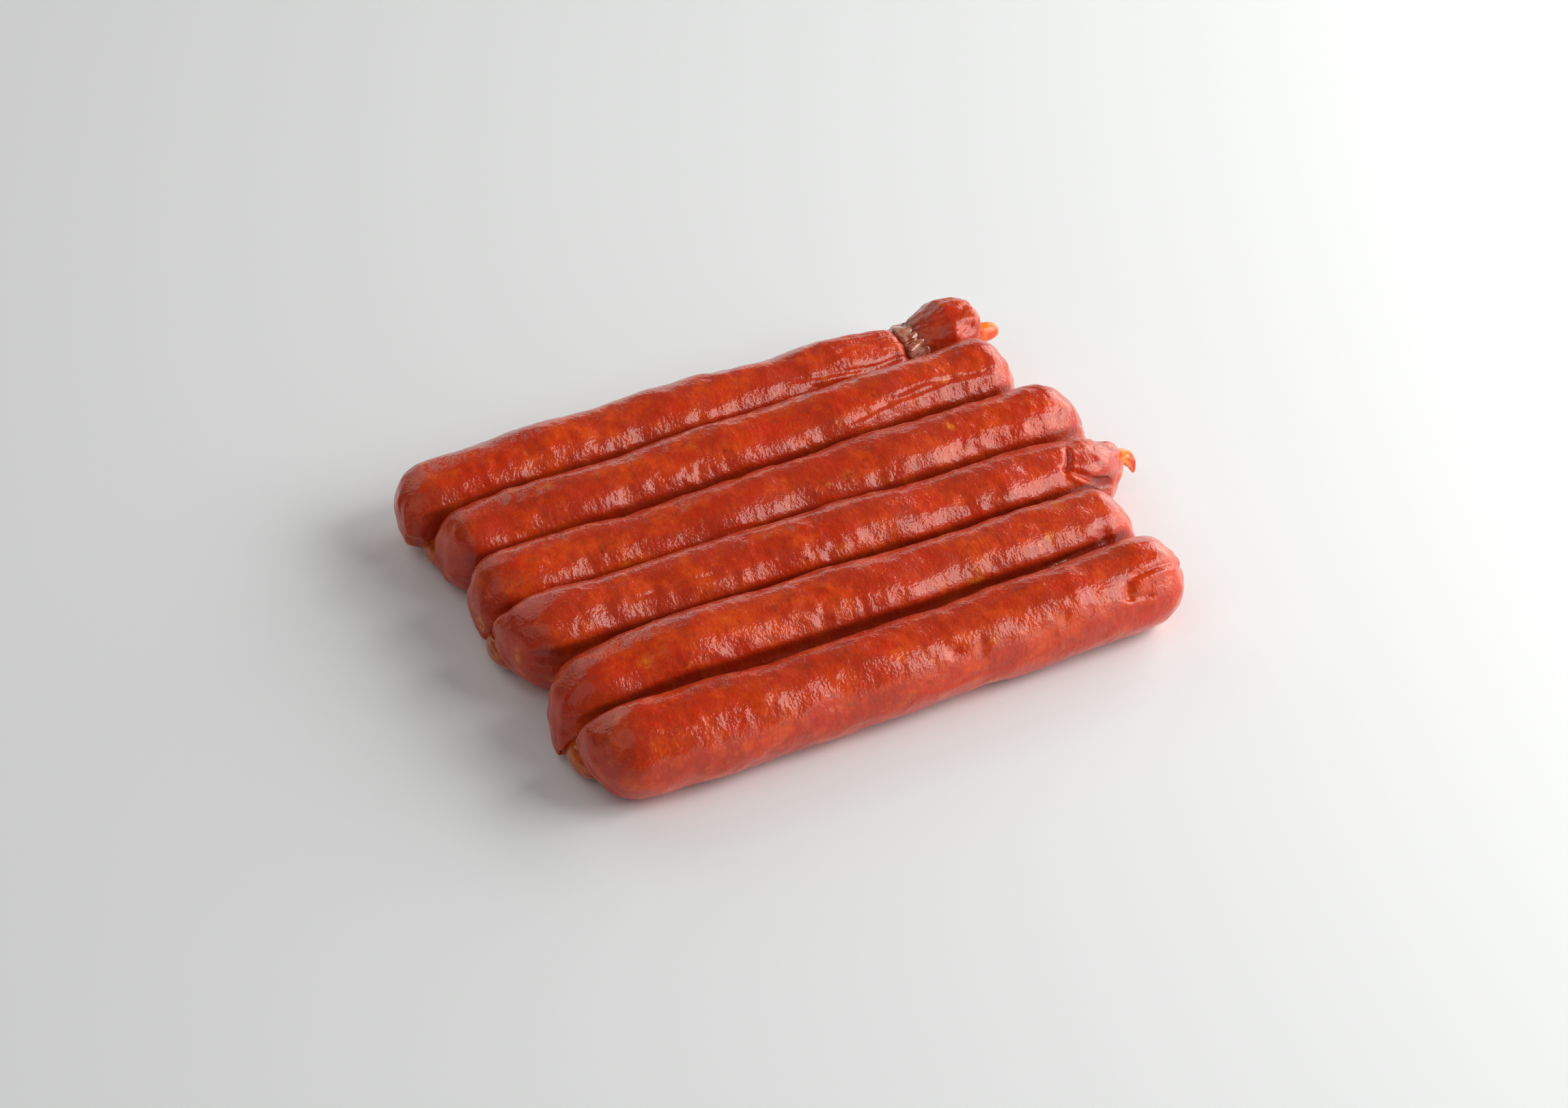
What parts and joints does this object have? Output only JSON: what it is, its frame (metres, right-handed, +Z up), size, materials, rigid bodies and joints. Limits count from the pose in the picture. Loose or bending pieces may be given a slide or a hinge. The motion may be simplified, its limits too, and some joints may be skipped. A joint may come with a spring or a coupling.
{
  "type": "string of sausage links",
  "caption": "Smoked sausage links in glossy orange-red casing, lying side by side, joined at their ends by twisted casing, with a tied end nub.",
  "frame": {"origin": "middle of the footprint, on the surface that the links lie on", "axes": "+Z up; +X along the links, towards the end with the tied nub; +Y from the front link to the rear one"},
  "size_m": [0.1854, 0.1418, 0.025],
  "materials": {
    "casing": "glossy translucent orange-red natural casing over minced meat",
    "gathered_casing": "shiny brown-red casing gathered in fine folds",
    "fatty_casing": "shiny orange casing end"
  },
  "bodies": {
    "root": {"link_1": "casing", "link_2": "casing", "link_3": "casing", "link_4": "casing", "link_5": "casing", "link_6": "casing", "end_nub": "casing", "nub_collar": "gathered_casing", "twist_1_2": "gathered_casing", "twist_2_3": "gathered_casing", "twist_3_4": "gathered_casing", "twist_4_5": "gathered_casing", "twist_5_6": "gathered_casing", "casing_knot": "fatty_casing", "casing_tail": "fatty_casing"}
  },
  "joints": []
}
